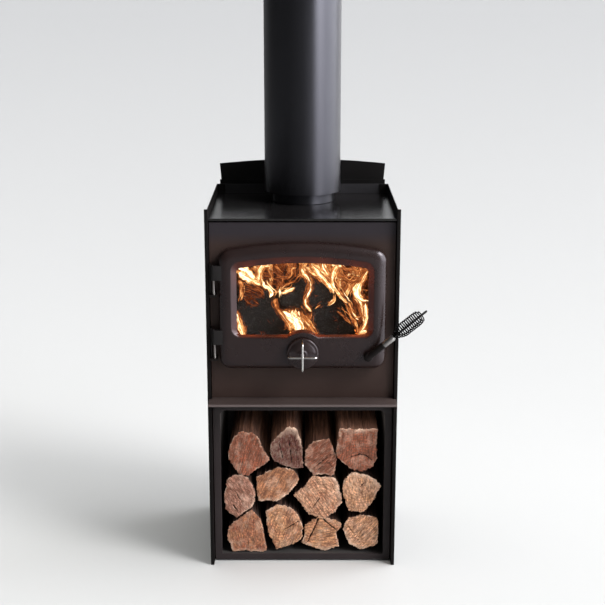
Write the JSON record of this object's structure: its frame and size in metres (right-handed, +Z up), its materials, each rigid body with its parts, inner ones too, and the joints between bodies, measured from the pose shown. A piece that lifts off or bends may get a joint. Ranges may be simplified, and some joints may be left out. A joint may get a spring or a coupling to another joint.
{
  "type": "wood burning stove",
  "caption": "Free-standing steel wood burning stove with a glazed arched door, screw-in air spinner, coil-grip handle, insulated flue and a firewood store in its base.",
  "frame": {"origin": "point on the floor under the flue's axis, in the plane of the base plate's underside", "axes": "+Z up, +X to the viewer's right when facing the door, +Y to the back; the door faces -Y"},
  "size_m": [0.5553, 0.4969, 1.568],
  "materials": {
    "stove_paint": "matt high-temperature stove paint, fine grain",
    "cast_iron": "painted casting, satin",
    "bright_steel": "bright turned steel",
    "flue_steel": "mill-finish stainless sheet",
    "firebrick": "rough refractory brick, sooted",
    "vermiculite_board": "pressed vermiculite board",
    "ceramic_glass": "clear heat-resistant glass",
    "seal_rope": "braided fibre rope",
    "split_wood": "rough split log ends with cracks and rings",
    "charred_wood": "charred, cracked",
    "embers": "glowing coals and ash"
  },
  "bodies": {
    "stove_body": {"side_panel_left": "stove_paint", "side_panel_right": "stove_paint", "back_panel": "stove_paint", "base_plate": "stove_paint", "rear_heat_shield": "stove_paint", "shield_spacer_left": "stove_paint", "shield_spacer_right": "stove_paint", "flue_deflector": "stove_paint", "front_plate": "stove_paint", "top_plate": "stove_paint", "firebox_wall_left": "stove_paint", "firebox_wall_right": "stove_paint", "firebox_wall_back": "stove_paint", "firebox_floor_plate": "stove_paint", "baffle_plate": "vermiculite_board", "baffle_rest_left": "stove_paint", "baffle_rest_right": "stove_paint", "firebrick_floor": "firebrick", "firebrick_left": "firebrick", "firebrick_right": "firebrick", "firebrick_back": "firebrick", "flue_spigot": "stove_paint", "flue_inner_pipe": "flue_steel", "flue_casing": "stove_paint", "flue_spacer": "flue_steel", "hinge_bracket_upper": "stove_paint", "hinge_bracket_lower": "stove_paint", "hinge_pin_upper": "bright_steel", "hinge_pin_lower": "bright_steel", "latch_striker": "cast_iron", "ash_shelf": "stove_paint", "wood_box_frame": "stove_paint", "wood_box_floor": "stove_paint", "wood_box_side_left": "stove_paint", "wood_box_side_right": "stove_paint", "wood_box_back": "stove_paint", "firewood_bottom_row": "split_wood", "firewood_middle_row": "split_wood", "firewood_top_row": "split_wood", "burning_log_left": "charred_wood", "burning_log_right": "charred_wood", "burning_log_top": "charred_wood", "ember_bed": "embers"},
    "door": {"door_frame": "cast_iron", "door_glass": "ceramic_glass", "glass_seal": "seal_rope", "glass_retainer_lower": "flue_steel", "glass_retainer_upper": "flue_steel", "door_rope_seal": "seal_rope", "air_baffle": "flue_steel", "air_spinner_stud": "bright_steel"},
    "air_screw": {"air_spinner_washer": "bright_steel"},
    "air_spinner": {"air_spinner_disc": "cast_iron", "air_spinner_cross": "bright_steel"},
    "handle": {"handle_arm": "cast_iron", "handle_rod": "bright_steel", "handle_coil": "cast_iron", "handle_spindle": "bright_steel", "latch_tongue": "cast_iron"}
  },
  "joints": [
    {"name": "door_swing", "type": "hinge", "parent": "stove_body", "child": "door", "pos_m": [-0.223, -0.29, 0.7], "axis": [0, 0, -1], "range_deg": [0, 115]},
    {"name": "air_travel", "type": "slide", "parent": "door", "child": "air_screw", "axis": [0, -1, 0], "range_m": [-0.004, 0.006]},
    {"name": "air_spin", "type": "hinge", "parent": "air_screw", "child": "air_spinner", "pos_m": [0, -0.3045, 0.6], "axis": [0, -1, 0], "range_deg": [-720, 1080]},
    {"name": "handle_turn", "type": "hinge", "parent": "door", "child": "handle", "pos_m": [0.166, -0.314, 0.5925], "axis": [0, -1, 0], "range_deg": [-35, 45]}
  ],
  "couplings": [
    {"joint": "air_travel", "follows": "air_spin", "m_per_rad": 0.00031831}
  ]
}
